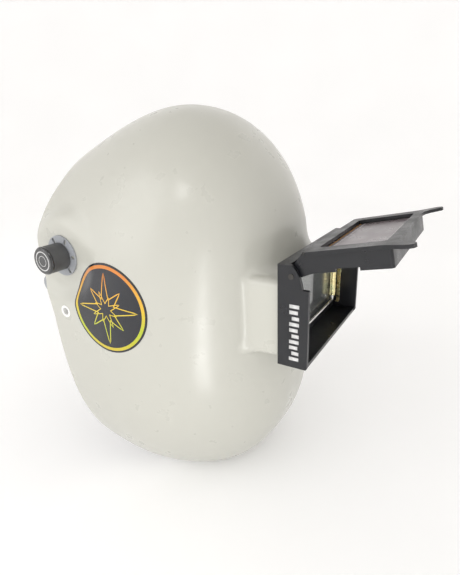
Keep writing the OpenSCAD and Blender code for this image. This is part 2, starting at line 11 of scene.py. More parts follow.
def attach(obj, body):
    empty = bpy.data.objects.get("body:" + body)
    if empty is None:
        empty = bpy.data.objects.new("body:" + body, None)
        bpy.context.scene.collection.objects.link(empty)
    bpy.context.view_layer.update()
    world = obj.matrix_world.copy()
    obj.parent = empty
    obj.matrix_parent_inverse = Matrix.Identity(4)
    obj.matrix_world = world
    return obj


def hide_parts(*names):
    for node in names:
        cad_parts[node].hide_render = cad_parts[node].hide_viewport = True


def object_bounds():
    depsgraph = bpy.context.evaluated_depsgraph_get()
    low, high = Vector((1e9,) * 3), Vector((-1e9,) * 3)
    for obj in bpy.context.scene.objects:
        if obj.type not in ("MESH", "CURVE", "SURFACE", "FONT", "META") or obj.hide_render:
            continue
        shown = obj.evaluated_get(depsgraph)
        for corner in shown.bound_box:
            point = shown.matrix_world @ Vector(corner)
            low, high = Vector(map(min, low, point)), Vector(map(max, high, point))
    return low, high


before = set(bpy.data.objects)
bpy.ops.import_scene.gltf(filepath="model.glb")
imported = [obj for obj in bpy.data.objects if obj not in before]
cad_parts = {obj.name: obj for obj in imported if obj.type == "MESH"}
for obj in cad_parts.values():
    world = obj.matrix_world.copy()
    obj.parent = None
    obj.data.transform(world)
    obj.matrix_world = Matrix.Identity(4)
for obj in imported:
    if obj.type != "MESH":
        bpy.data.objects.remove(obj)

MM = 0.001
CAD_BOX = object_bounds()


# --- camera, floor and light ---------------------------------------------------------------

def make_camera():
    """The camera stands close, ahead of and above the wearer's right side."""
    azimuth, elevation, roll = (math.radians(a) for a in (-57.66, 20.01, -2.41))
    back = Vector((math.sin(azimuth) * math.cos(elevation),
                   -math.cos(azimuth) * math.cos(elevation), math.sin(elevation)))
    right = Vector((math.cos(azimuth), math.sin(azimuth), 0))
    up = back.cross(right)
    x_axis = right * math.cos(roll) + up * math.sin(roll)
    y_axis = up * math.cos(roll) - right * math.sin(roll)
    data = bpy.data.cameras.new("camera")
    data.sensor_width = 36
    data.lens = 25.96
    data.clip_start = 0.01
    cam = bpy.data.objects.new("camera", data)
    bpy.context.scene.collection.objects.link(cam)
    place = Matrix((x_axis, y_axis, back)).transposed().to_4x4()
    place.translation = Vector((-0.3121, -0.2942, 0.0870))
    cam.matrix_world = place
    bpy.context.scene.camera = cam


def area_light(name, position, target, size, power, shape="RECTANGLE", size_y=None):
    data = bpy.data.lights.new(name, "AREA")
    data.shape = shape
    data.size = size
    data.size_y = size_y or size
    data.energy = power
    light = bpy.data.objects.new(name, data)
    light.location = position
    light.rotation_euler = (Vector(target) - Vector(position)).to_track_quat("-Z", "Y").to_euler()
    bpy.context.scene.collection.objects.link(light)
    return light


def make_stage():
    """A pale floor that curves up into a backdrop all round, under soft studio light."""
    mesh = bpy.data.meshes.new("floor")
    floor_z = CAD_BOX[0].z - 0.001
    rings = [(0.02, 0), (1.6, 0)] + [(1.6 + 1.6 * math.sin(a), 1.6 - 1.6 * math.cos(a))
                                    for a in np.linspace(0, math.pi / 2, 14)[1:]] + [(3.2, 3.0)]
    n = 64
    verts = [(r * math.cos(2 * math.pi * i / n), r * math.sin(2 * math.pi * i / n), floor_z + z)
             for r, z in rings for i in range(n)]
    faces = [(j * n + i, j * n + (i + 1) % n, (j + 1) * n + (i + 1) % n, (j + 1) * n + i)
             for j in range(len(rings) - 1) for i in range(n)] + [tuple(range(n - 1, -1, -1))]
    mesh.from_pydata(verts, [], faces)
    mesh.polygons.foreach_set("use_smooth", [True] * len(mesh.polygons))
    floor = bpy.data.objects.new("floor", mesh)
    bpy.context.scene.collection.objects.link(floor)
    floor.data.materials.append(floor_paint())

    world = bpy.data.worlds.new("studio")
    bpy.context.scene.world = world
    world.use_nodes = True
    background = world.node_tree.nodes["Background"]
    background.inputs["Color"].default_value = (1.0, 0.975, 0.95, 1)
    background.inputs["Strength"].default_value = 0.77
    area_light("key", (-1.66, -0.68, 1.46), (-0.077, -0.109, 0.053), 0.4, 3.4)
    area_light("side_fill", (-1.55, 0.75, 0.75), (0, -0.06, -0.05), 1.6, 11)
    area_light("low_strip", (-0.48, -0.45, -0.115), (-0.40, -0.375, 0.25), 0.05, 0.85, size_y=0.77)
    bpy.context.scene.view_settings.view_transform = "Standard"


# --- materials -----------------------------------------------------------------------------

class Shader:
    """A material's node tree, with short calls for the nodes that the finishes use."""

    def __init__(self, name, color, roughness, **sockets):
        self.material = bpy.data.materials.new(name)
        self.material.use_nodes = True
        self.tree = self.material.node_tree
        self.bsdf = self.tree.nodes["Principled BSDF"]
        self.set("Base Color", (*color, 1))
        self.set("Roughness", roughness)
        for key, value in sockets.items():
            self.set(key.replace("_", " "), value)
        self.coords = self.tree.nodes.new("ShaderNodeTexCoord").outputs["Object"]
        self.height = None

    def set(self, socket, value):
        self.bsdf.inputs[socket].default_value = value

    def link(self, a, b):
        self.tree.links.new(a, b)

    def node(self, kind, **values):
        node = self.tree.nodes.new(kind)
        for key, value in values.items():
            if hasattr(node, key):
                setattr(node, key, value)
            else:
                node.inputs[key.replace("_", " ")].default_value = value
        return node

    def noise(self, scale, detail=3.0, stretch=None, rough=0.5):
        """Noise from 0 to 1 with about scale features a metre, stretched along an axis."""
        node = self.node("ShaderNodeTexNoise", Scale=scale, Detail=detail, Roughness=rough)
        source = self.coords
        if stretch:
            mapping = self.node("ShaderNodeMapping")
            mapping.inputs["Scale"].default_value = stretch
            self.link(source, mapping.inputs["Vector"])
            source = mapping.outputs["Vector"]
        self.link(source, node.inputs["Vector"])
        return node.outputs["Fac"]

    def band(self, value, low, high):
        """1 where value lies between low and high, 0 elsewhere."""
        node = self.node("ShaderNodeMath", operation="COMPARE")
        self.link(value, node.inputs[0])
        node.inputs[1].default_value = (low + high) / 2
        node.inputs[2].default_value = (high - low) / 2
        return node.outputs[0]

    def wave(self, scale, direction="X", distortion=0.0):
        node = self.node("ShaderNodeTexWave", Scale=scale, Distortion=distortion,
                         bands_direction=direction)
        self.link(self.coords, node.inputs["Vector"])
        return node.outputs["Fac"]

    def ramp(self, value, stops):
        """Colours or greys at stops (position, value) along value."""
        node = self.node("ShaderNodeValToRGB")
        ramp = node.color_ramp
        while len(ramp.elements) < len(stops):
            ramp.elements.new(0.5)
        for element, (position, color) in zip(ramp.elements, stops):
            element.position = position
            grey = (color,) * 3 if isinstance(color, (int, float)) else color
            element.color = (*grey, 1)
        self.link(value, node.inputs["Fac"])
        return node.outputs["Color"]

    def mix(self, value, a, b, blend="MIX"):
        """Colour a where value is 0 and b where it is 1."""
        node = self.node("ShaderNodeMix", data_type="RGBA", blend_type=blend)
        self.put(value, node.inputs["Factor"])
        self.put(a, node.inputs[6])
        self.put(b, node.inputs[7])
        return node.outputs[2]

    def put(self, value, socket):
        """Links a node's output to a socket, or sets a plain value on it."""
        if hasattr(value, "links"):
            self.link(value, socket)
        elif isinstance(value, (int, float)):
            socket.default_value = value
        else:
            socket.default_value = (*value, 1) if len(value) == 3 else value

    def color(self, value):
        self.link(value, self.bsdf.inputs["Base Color"])

    def vary(self, base, amount, scale, detail=4.0):
        """Base colour, mottled lighter and darker by amount."""
        dark = tuple(c * (1 - amount) for c in base)
        light = tuple(min(1, c * (1 + amount)) for c in base)
        return self.ramp(self.noise(scale, detail), [(0.3, dark), (0.7, light)])

    def rough(self, low, high, scale, detail=4.0):
        value = self.ramp(self.noise(scale, detail), [(0.3, low), (0.7, high)])
        self.link(value, self.bsdf.inputs["Roughness"])

    def bump(self, value, depth, strength=1.0):
        """Adds a bump of depth metres on top of the earlier ones."""
        node = self.node("ShaderNodeBump", Strength=strength, Distance=depth)
        self.link(value, node.inputs["Height"])
        if self.height is not None:
            self.link(self.height, node.inputs["Normal"])
        self.height = node.outputs["Normal"]
        self.link(self.height, self.bsdf.inputs["Normal"])


def floor_paint():
    """Matt off-white that glows a little, as a lit table does."""
    base = (0.92, 0.92, 0.92)
    s = Shader("floor", base, 0.9, Emission_Color=(1, 0.99, 0.98, 1), Emission_Strength=0.14)
    s.color(s.vary(base, 0.015, 3))
    return s.material


def gelcoat():
    """Cream gelcoat over fibreglass: glossy, with a fine orange peel and faint mottling."""
    base = (0.515, 0.512, 0.46)
    s = Shader("gelcoat", base, 0.3, Coat_Weight=0.3, Coat_Roughness=0.2)
    s.color(s.ramp(s.noise(9, 3), [(0.35, tuple(c * 0.985 for c in base)), (0.65, base)]))
    s.rough(0.26, 0.38, 60)
    s.bump(s.noise(230, 0), 0.0003, 0.1)
    return s.material


def fibreglass_inside():
    """The shell's inside: matt charcoal paint over chopped-strand mat."""
    s = Shader("fibreglass_inside", (0.05, 0.05, 0.052), 0.7)
    strands = s.noise(500, 3, stretch=(1, 0.12, 1))
    across = s.noise(500, 3, stretch=(1, 1, 0.12))
    s.color(s.mix(strands, (0.035, 0.035, 0.037), (0.085, 0.084, 0.08)))
    s.bump(strands, 0.0012, 0.5)
    s.bump(across, 0.0012, 0.4)
    s.rough(0.55, 0.8, 90)
    return s.material


def moulded(name, color, roughness, grain=1400, depth=0.00025, coat=0.0, vary=0.12):
    """Injection-moulded plastic with a fine spark-eroded grain."""
    s = Shader(name, color, roughness, Coat_Weight=coat, Coat_Roughness=0.2)
    s.color(s.vary(color, vary, 40))
    s.bump(s.noise(grain, 2), depth, 0.35)
    s.rough(max(0.05, roughness - 0.08), roughness + 0.1, 70)
    return s.material


def metal(name, color, roughness, brushed=(1, 1, 12)):
    s = Shader(name, color, roughness, Metallic=1.0)
    scratches = s.noise(700, 3, stretch=brushed)
    s.color(s.mix(scratches, tuple(c * 0.8 for c in color), color))
    s.bump(scratches, 0.00008, 0.4)
    s.rough(roughness - 0.06, roughness + 0.1, 200)
    return s.material


def brass_plate():
    """Yellow-passivated steel, with the faint pink and green bloom of its chromate."""
    s = Shader("brass", (0.75, 0.62, 0.33), 0.28, Metallic=1.0)
    bloom = s.ramp(s.noise(90, 3), [(0.25, (0.80, 0.60, 0.42)), (0.5, (0.78, 0.68, 0.36)),
                                    (0.75, (0.62, 0.66, 0.40))])
    s.color(bloom)
    s.rough(0.2, 0.38, 300)
    s.bump(s.noise(1200, 2, stretch=(1, 1, 0.1)), 0.00008, 0.4)
    return s.material


def rubber():
    s = Shader("seal_rubber", (0.02, 0.02, 0.02), 0.75)
    s.color(s.vary((0.02, 0.02, 0.02), 0.3, 120))
    s.bump(s.noise(900, 3), 0.0002, 0.5)
    return s.material


def glass(name, color, roughness, transmission):
    s = Shader(name, color, roughness, Transmission_Weight=transmission, IOR=1.5)
    s.color(s.vary(color, 0.03, 25))
    s.rough(roughness, roughness + 0.04, 35)
    s.bump(s.noise(60, 1), 0.00005, 0.1)
    return s.material


def film():
    """Purple-grey protective film on the cover lens, rippled, with plain lines at both ends."""
    base = (0.36, 0.305, 0.325)
    s = Shader("cover_film", base, 0.3, Coat_Weight=0.15, Coat_Roughness=0.15)
    sweep = s.ramp(s.noise(22, 2), [(0.3, (0.15, 0.125, 0.14)), (0.7, (0.20, 0.165, 0.17))])
    split = s.node("ShaderNodeSeparateXYZ")
    s.link(s.coords, split.inputs["Vector"])
    orange, grey = (0.75, 0.36, 0.04), (0.62, 0.6, 0.6)
    for low, high, ink in ((-0.246, -0.2452, orange), (-0.241, -0.2404, grey),
                           (-0.206, -0.2054, grey), (-0.2025, -0.2017, orange)):
        sweep = s.mix(s.band(split.outputs["Y"], low, high), sweep, ink)
    s.color(sweep)
    s.rough(0.24, 0.36, 60)
    s.bump(s.noise(40, 1, stretch=(0.3, 1, 1)), 0.0003, 0.12)
    return s.material


def foam_cloth():
    """Foam-backed knit: fine loops in rows, with sheen."""
    s = Shader("foam_cloth", (0.03, 0.03, 0.032), 0.9, Sheen_Weight=0.35, Sheen_Roughness=0.5)
    rows = s.wave(420, "Z", 1.2)
    columns = s.wave(420, "X", 1.2)
    knit = s.mix(0.5, rows, columns)
    s.color(s.mix(knit, (0.018, 0.018, 0.02), (0.06, 0.06, 0.064)))
    s.bump(knit, 0.0005, 0.8)
    return s.material


def vulcanised_fibre():
    s = Shader("fibre_washer", (0.2, 0.12, 0.07), 0.6)
    s.color(s.vary((0.2, 0.12, 0.07), 0.35, 350))
    s.bump(s.noise(900, 4), 0.0002, 0.5)
    return s.material


def print_ink(name, color, gloss=0.3):
    s = Shader(name, color, gloss, Coat_Weight=0.4, Coat_Roughness=0.1)
    s.color(s.vary(color, 0.12, 500))
    s.bump(s.noise(230, 2), 0.0004, 0.12)
    return s.material


def ring_ink():
    """The badge's rim: orange at the top through gold to green at the lower front."""
    s = Shader("ring_ink", (0.8, 0.4, 0.05), 0.3, Coat_Weight=0.4, Coat_Roughness=0.1)
    split = s.node("ShaderNodeSeparateXYZ")
    s.link(s.coords, split.inputs["Vector"])
    reach = s.node("ShaderNodeMapRange", From_Min=-0.075, From_Max=0.0, To_Min=0.0, To_Max=1.0)
    s.link(split.outputs["Z"], reach.inputs["Value"])
    grain = s.mix(0.08, reach.outputs["Result"], s.noise(60, 2))
    s.color(s.ramp(grain, [(0.0, (0.62, 0.42, 0.02)), (0.3, (0.42, 0.50, 0.02)), (0.55, (0.70, 0.45, 0.03)),
                           (0.85, (0.62, 0.20, 0.02))]))
    s.bump(s.noise(230, 2), 0.0004, 0.12)
    return s.material


# --- mesh helpers --------------------------------------------------------------------------

def add_object(name, verts, faces, material, smooth=True):
    mesh = bpy.data.meshes.new(name)
    mesh.from_pydata([tuple(v) for v in verts], [], [tuple(f) for f in faces])
    mesh.polygons.foreach_set("use_smooth", [smooth] * len(mesh.polygons))
    obj = bpy.data.objects.new(name, mesh)
    bpy.context.scene.collection.objects.link(obj)
    for m in material if isinstance(material, (list, tuple)) else [material]:
        mesh.materials.append(m)
    return obj


def bake_modifiers(obj):
    """Applies every modifier of obj to its mesh."""
    graph = bpy.context.evaluated_depsgraph_get()
    graph.update()
    mesh = bpy.data.meshes.new_from_object(obj.evaluated_get(graph))
    obj.modifiers.clear()
    old, obj.data = obj.data, mesh
    bpy.data.meshes.remove(old)
    return obj


def outward(obj):
    """Turns every face of a closed mesh outwards."""
    bm = bmesh.new()
    bm.from_mesh(obj.data)
    bmesh.ops.recalc_face_normals(bm, faces=bm.faces)
    bm.to_mesh(obj.data)
    bm.free()
    return obj


def polish(node, material, bevel=0.4, segments=3, angle=32):
    """Gives a CAD node its finish: flat faces joined up, hard edges rounded by bevel mm."""
    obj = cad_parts[node]
    mesh = obj.data
    mesh.materials.clear()
    mesh.materials.append(material)
    mesh.polygons.foreach_set("use_smooth", [True] * len(mesh.polygons))
    if "custom_normal" in mesh.attributes:
        mesh.attributes.remove(mesh.attributes["custom_normal"])
    weld = obj.modifiers.new("weld", "WELD")
    weld.merge_threshold = 0.004 * MM
    flat = obj.modifiers.new("flat", "DECIMATE")
    flat.decimate_type = "DISSOLVE"
    flat.angle_limit = math.radians(0.6)
    if bevel:
        round_off = obj.modifiers.new("round_off", "BEVEL")
        round_off.width = bevel * MM
        round_off.segments = segments
        round_off.limit_method = "ANGLE"
        round_off.angle_limit = math.radians(angle)
        round_off.use_clamp_overlap = True
        round_off.miter_outer = "MITER_ARC"
    normals = obj.modifiers.new("normals", "WEIGHTED_NORMAL")
    normals.keep_sharp = True
    normals.weight = 80
    return obj


# --- shell ---------------------------------------------------------------------------------

SHELL_W, CROWN_H, CHIN_H, WALL, FACE_Y, HUB_Z = 221, 171.5, 165.4, 3, 168.4, -57.6
CROWN_N, CHIN_N = 2.18, 3.12
RIM_Y = (1.4, 3.5, 18.6, 32.5, 19.6, 7.2, -11.4, -53.8, -83.1)
RIM_K = (0.867, 0.904, 0.944, 0.99, 0.988, 0.993, 0.987, 0.977, 0.97)
WIDEST_Y = (-63, -70.1, -41, -38.6, -92.7)
FRONT_P, FRONT_Q = (2.5, 2, 3.28), (1.97, 2, 1.6)
PAD_X, PAD_R = 103.5, 24
NOSE_W, NOSE_H, NOSE_R, NOSE_Z, NOSE_Y, NOSE_DRAFT, LIP = 118, 61.4, 6, -42.3, -176, 2, 4
NX, NZ, NC = 40, 26, 7
REAR_ROWS, FRONT_ROWS, BLEND_ROWS = 44, 70, 16
RIM_ROUND = 1.3
# Bores through both sides: the pivot's, and the one for the stop's eyelet (y, z, radius)
BORES = ((0, 0, 3.05), (1, -48, 4.3))


def mix(a, b, t):
    return a + (b - a) * t


def smooth(t):
    u = np.clip(t, 0, 1)
    return u * u * (3 - 2 * u)


def spow(v, e):
    return np.sign(v) * np.abs(v) ** e


def curve(values, angle):
    """Smooth curve through values, spread evenly from the crown (0) to the chin (180)."""
    c = np.array(values, float)
    last = len(c) - 1
    u = np.abs(angle) * last / 180
    i = np.minimum(np.floor(u), last - 1).astype(int)
    f = u - i

    def knot(j):
        j = np.abs(j)
        return c[np.where(j > last, 2 * last - j, j)]

    p0, p1, p2, p3 = knot(i - 1), knot(i), knot(i + 1), knot(i + 2)
    return 0.5 * (2 * p1 + (p2 - p0) * f + (2 * p0 - 5 * p1 + 4 * p2 - p3) * f ** 2
                  + (3 * p1 - p0 - 3 * p2 + p3) * f ** 3)


def fold(angle):
    """Angle round the hub, brought to -180..180."""
    return (angle + 180) % 360 - 180


def bowl(th, w, t):
    """Points of the bowl, t mm below its outer face: w is -1 at the rim and 1 at the front."""
    th, w = np.broadcast_arrays(fold(np.asarray(th, float)), np.asarray(w, float))
    r, a = np.radians(th), np.abs(th)
    n = np.where(np.cos(r) > 0, CROWN_N, CHIN_N)
    h = np.where(np.cos(r) > 0, CROWN_H, CHIN_H) - t
    x = (SHELL_W / 2 - t) * spow(np.sin(r), 2 / n)
    z = h * spow(np.cos(r), 2 / n)
    y_mid, y_rim = curve(WIDEST_Y, a), curve(RIM_Y, a)
    ph_rim = np.arccos(curve(RIM_K, a))
    ph = np.where(w < 0, -w * ph_rim, w * np.pi / 2)
    c, s = np.maximum(np.cos(ph), 0), np.maximum(np.sin(ph), 0)
    rho = np.where(w < 0, c, c ** (2 / curve(FRONT_P, a)))
    y = np.where(w < 0, mix(y_mid, y_rim, s / np.sin(ph_rim)),
                 mix(y_mid, t - FACE_Y, s ** (2 / curve(FRONT_Q, a))))
    y = y - RIM_ROUND * np.maximum(-w, 0) ** 12
    return pad(np.stack([x * rho, y, HUB_Z + z * rho], -1), t)


def pad(p, t):
    """Levels the shell round each pivot, so that the washers lie flat."""
    reach = np.hypot(p[..., 1], p[..., 2]) / PAD_R
    w = smooth((1.75 - reach) / 0.7)
    flat = mix(p[..., 0], np.sign(p[..., 0]) * (PAD_X - t), w)
    return np.stack([flat, p[..., 1], p[..., 2]], -1)


def nose_loop(t, y):
    """X and Z of the loop round the nose at y, clockwise from the top left."""
    y = np.broadcast_to(np.asarray(y, float), (2 * (2 * NX + 1) + 2 * (2 * NZ + 1) + 4 * NC,))
    g = NOSE_DRAFT * (y - NOSE_Y) / 30
    w, h = NOSE_W / 2 - t + g, NOSE_H / 2 - t + g / 2
    r = NOSE_R - t / 2
    u, v = w - r, h - r
    out = np.zeros((len(y), 2))
    i = 0
    sides = ((0, 1, 2 * NX), (1, -1, 2 * NZ), (0, -1, 2 * NX), (1, 1, 2 * NZ))
    corners = ((1, 1, 90), (1, -1, 0), (-1, -1, -90), (-1, 1, 180))
    for k in range(4):
        along, way, count = sides[k]
        f = np.linspace(-1, 1, count + 1) * way
        j = slice(i, i + count + 1)
        if along == 0:
            out[j] = np.stack([u[j] * f, h[j] * (1 if k == 0 else -1)], -1)
        else:
            out[j] = np.stack([w[j] * (1 if k == 1 else -1), v[j] * f], -1)
        i += count + 1
        sx, sy, start = corners[k]
        b = np.radians(start - 90 * np.arange(1, NC + 1) / (NC + 1))
        j = slice(i, i + NC)
        out[j] = np.stack([sx * u[j] + r * np.cos(b), sy * v[j] + r * np.sin(b)], -1)
        i += NC
    return out


def ring_th(a):
    r = np.radians(a)
    n = np.where(np.cos(r) > 0, CROWN_N, CHIN_N)
    h = np.where(np.cos(r) > 0, CROWN_H, CHIN_H)
    return np.degrees(np.arctan2(spow(np.sin(r) / SHELL_W * 2, n / 2), spow(np.cos(r) / h, n / 2)))


def level(th, reach, t):
    """Level at which a column of the bowl is reach mm away from the hub."""
    ring = bowl(th, np.zeros_like(th), t)
    r = np.minimum(reach / np.hypot(ring[:, 0], ring[:, 2] - HUB_Z), 1)
    return np.degrees(np.arccos(r ** (curve(FRONT_P, np.abs(fold(th))) / 2))) / 90


def bezier(a, b, c, t):
    return mix(mix(a, b, t), mix(b, c, t), t)


def shell_rows(t, thin=1):
    """Rows of the shell's face, from the rim to the nose's front, t mm below the outside."""
    base = nose_loop(0, NOSE_Y + 30)
    cols = len(base)
    psi = np.degrees(np.arctan2(base[:, 0], base[:, 1] + NOSE_Z - HUB_Z))
    psi[np.arange(cols) >= NX + cols / 2] %= 360
    rim_psi = (np.arange(cols) - NX) * 360 / cols
    reach = np.hypot(base[:, 0], base[:, 1] + NOSE_Z - HUB_Z)
    blend = 4 + np.where(base[:, 1] > NOSE_H / 2 - 1,
                         24 * smooth((NOSE_W / 2 - np.abs(base[:, 0])) / 24),
                         5 * smooth((-base[:, 1] / NOSE_H * 2 - 0.55) / 0.45))
    th = ring_th(psi)
    w1 = level(th, reach + blend, t)
    y0 = bowl(th, level(th, reach, t), t)[:, 1]
    fall = np.minimum(blend, 0.6 * (y0 - NOSE_Y))
    c, d = nose_loop(t, y0), nose_loop(t, y0 - fall)
    a = bowl(th, w1, t)
    b = np.stack([c[:, 0], y0, c[:, 1] + NOSE_Z], -1)
    e = np.stack([d[:, 0], y0 - fall, d[:, 1] + NOSE_Z], -1)
    rear, front, curl = REAR_ROWS // thin, FRONT_ROWS // thin, BLEND_ROWS // thin
    rows = [bowl(ring_th(rim_psi), k / rear - 1, t) for k in range(rear + 1)]
    for k in range(1, front + 1):
        f = k / front
        rows.append(bowl(ring_th(mix(rim_psi, psi, smooth(f))), w1 * f, t))
    rows += [bezier(a, b, e, k / curl) for k in range(1, curl + 1)]
    return rows


def mouth(t, y):
    p = nose_loop(t, NOSE_Y)
    return np.stack([p[:, 0], np.full(len(p), float(y)), p[:, 1] + NOSE_Z], -1)


def build_shell():
    """The whole laminate: outer face, rolled rim, nose and inner face, with its bores."""
    outer = shell_rows(0)
    inner = shell_rows(WALL, thin=2)
    roll = []
    for k in range(1, 8):
        a = math.pi * k / 8
        edge = mix(outer[0], inner[0], (1 - math.cos(a)) / 2)
        edge[:, 1] += RIM_ROUND * math.sin(a)
        roll.append(edge)
    front = [mouth(0.5, NOSE_Y), mouth(WALL, NOSE_Y), mouth(WALL, NOSE_Y + LIP),
             mouth(WALL - 0.9, NOSE_Y + LIP + 0.3)]
    rows = outer + [mouth(0, NOSE_Y + 0.5)] + front + inner[::-1] + roll[::-1]
    n, m = len(rows), len(rows[0])
    verts = np.concatenate(rows) * MM
    faces = [(j * m + i, j * m + (i + 1) % m, (j + 1) % n * m + (i + 1) % m, (j + 1) % n * m + i)
             for j in range(n) for i in range(m)]
    obj = add_object("shell_skin", verts, faces, [FINISH["gelcoat"], FINISH["fibreglass"]])
    first, last = len(outer) + 2, n - len(roll) // 2 - 1
    inside = np.zeros(n * m, int)
    inside[first * m:last * m] = 1
    obj.data.polygons.foreach_set("material_index", inside)
    outward(obj)
    faces = [tuple(p.vertices) for p in obj.data.polygons][:(len(outer) - 1) * m]
    tree = BVHTree.FromPolygons([v.co.copy() for v in obj.data.vertices], faces)
    for x in (-1, 1):
        for y, z, r in BORES:
            cut_bore(obj, x, y, z, r)
    sharpen(bake_modifiers(obj), 40)
    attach(obj, "helmet")
    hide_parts("shell")
    return tree


def cut_bore(obj, side, y, z, r):
    n = 48
    ring = [(y + r * math.cos(2 * math.pi * i / n), z + r * math.sin(2 * math.pi * i / n))
            for i in range(n)]
    verts = [(side * x * MM, y * MM, z * MM) for x in (88, 125) for y, z in ring]
    faces = [(i, (i + 1) % n, n + (i + 1) % n, n + i) for i in range(n)]
    faces += [tuple(range(n - 1, -1, -1)), tuple(range(n, 2 * n))]
    drill = outward(add_object("drill", verts, faces, FINISH["gelcoat"]))
    cut = obj.modifiers.new("bore", "BOOLEAN")
    cut.operation = "DIFFERENCE"
    cut.solver = "FAST"
    cut.object = drill
    bake_modifiers(obj)
    bpy.data.objects.remove(drill)


def sharpen(obj, angle):
    """Shades a mesh smooth, except across edges sharper than angle degrees."""
    bm = bmesh.new()
    bm.from_mesh(obj.data)
    limit = math.radians(angle)
    for f in bm.faces:
        f.smooth = True
    for e in bm.edges:
        e.smooth = len(e.link_faces) == 2 and e.calc_face_angle(0) < limit
    bm.to_mesh(obj.data)
    bm.free()
    return obj


# --- badges and marks ----------------------------------------------------------------------

SIDES = (-1, "right"), (1, "left")
BADGE = (-50, -37)  # centre of the badge, y and z
BADGE_R = 37
WALL_X = 63         # outer wall of the lens holder
CAP_X = 122.8       # outer face of a knob's cap


def on_side(tree, side, y, z, lift):
    """Point on the shell's side at y and z, lifted off its face by lift mm."""
    start = Vector((side * 0.2, y * MM, z * MM))
    hit, normal, _, _ = tree.ray_cast(start, Vector((-side, 0, 0)))
    if normal.x * side < 0:
        normal = -normal
    return hit + normal * lift * MM


def flat_patch(tree, side, name, loops, lift, material):
    """A thin print on the shell's side between two closed outlines of the same length."""
    count, steps = len(loops[0]), 3
    verts = []
    for k in range(steps + 1):
        for (y0, z0), (y1, z1) in zip(*loops):
            y, z = mix(y0, y1, k / steps), mix(z0, z1, k / steps)
            verts.append(on_side(tree, side, BADGE[0] + y, BADGE[1] + z, lift))
    faces = [(k * count + i, k * count + (i + 1) % count, (k + 1) * count + (i + 1) % count,
              (k + 1) * count + i) for k in range(steps) for i in range(count)]
    return add_object(name, verts, faces, material)


def circle(r, n=180):
    return [(r * math.cos(2 * math.pi * i / n), r * math.sin(2 * math.pi * i / n)) for i in range(n)]


def spark(inner, outer, points=8, per_side=8, turn=0.0):
    """Outline of a star with straight sides, each cut into per_side pieces."""
    tips = []
    for k in range(2 * points):
        r = (outer if k % 4 == 0 else outer * 0.72) if k % 2 == 0 else inner
        a = math.pi * k / points + turn
        tips.append((r * math.sin(a), r * math.cos(a)))
    out = []
    for a, b in zip(tips, tips[1:] + tips[:1]):
        out += [(mix(a[0], b[0], i / per_side), mix(a[1], b[1], i / per_side)) for i in range(per_side)]
    return out


def shrink(outline, by):
    """Moves a closed outline inwards by by mm."""
    p = np.array(outline)
    ahead, behind = np.roll(p, -1, 0) - p, p - np.roll(p, 1, 0)
    n1 = np.stack([ahead[:, 1], -ahead[:, 0]], -1) / np.linalg.norm(ahead, axis=1)[:, None]
    n2 = np.stack([behind[:, 1], -behind[:, 0]], -1) / np.linalg.norm(behind, axis=1)[:, None]
    n = n1 + n2
    n /= np.maximum(np.sum(n * n1, axis=1), 0.35)[:, None]
    return [tuple(q) for q in p - n * by]


def build_badges(tree):
    """A black disc with a coloured rim and a plain spark, on both sides."""
    for side, where in SIDES:
        parts = []
        for k in range(12):
            loops = circle(BADGE_R * (1 - k / 12)), circle(max(BADGE_R * (1 - (k + 1) / 12), 0.01))
            parts.append(flat_patch(tree, side, "disc", loops, 0.3, FINISH["label"]))
        edge = flat_patch(tree, side, "edge", (circle(BADGE_R), circle(BADGE_R + 0.02)), 0.3,
                          FINISH["label"])
        count = 180
        for i, v in enumerate(edge.data.vertices):
            if i >= count * 3:
                a = 2 * math.pi * (i % count) / count
                y = BADGE[0] + (BADGE_R + 0.1) * math.cos(a)
                z = BADGE[1] + (BADGE_R + 0.1) * math.sin(a)
                v.co = on_side(tree, side, y, z, -0.02)
        parts.append(edge)
        parts.append(flat_patch(tree, side, "rim", (circle(35.4), circle(32.8)), 0.36, FINISH["ring"]))
        star = spark(8.5, 29)
        parts.append(flat_patch(tree, side, "spark", (star, shrink(star, 0.9)), 0.36, FINISH["ring"]))
        small = spark(4.6, 15, turn=math.pi / 8)
        parts.append(flat_patch(tree, side, "spark_core", (small, shrink(small, 0.7)), 0.36, FINISH["ring"]))
        badge = join(parts, f"{where}_badge")
        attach(badge, "helmet")
        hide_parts("side_roundels")


def bar(x, y0, y1, z0, z1, lift, material):
    """A thin printed bar on a flat wall at x, with a slight thickness."""
    side = 1 if x > 0 else -1
    verts = [(x + side * h, y, z) for h in (-0.05, lift) for y, z in ((y0, z0), (y1, z0), (y1, z1), (y0, z1))]
    faces = [(0, 1, 2, 3), (4, 7, 6, 5), (0, 4, 5, 1), (1, 5, 6, 2), (2, 6, 7, 3), (3, 7, 4, 0)]
    return outward(add_object("bar", np.array(verts) * MM, faces, material, smooth=False))


def build_holder_marks():
    """A column of plain white bars up each outer wall of the lens holder."""
    for side, where in SIDES:
        parts = [bar(side * WALL_X, -192.6 + (0.9 if k % 3 == 2 else 0), -185.2 - (1.9 if k % 3 == 1 else 0),
                     -69.4 + 4.6 * k, -66.6 + 4.6 * k, 0.06, FINISH["white_ink"]) for k in range(10)]
        marks = join(parts, f"{where}_wall_bars")
        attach(marks, "helmet")


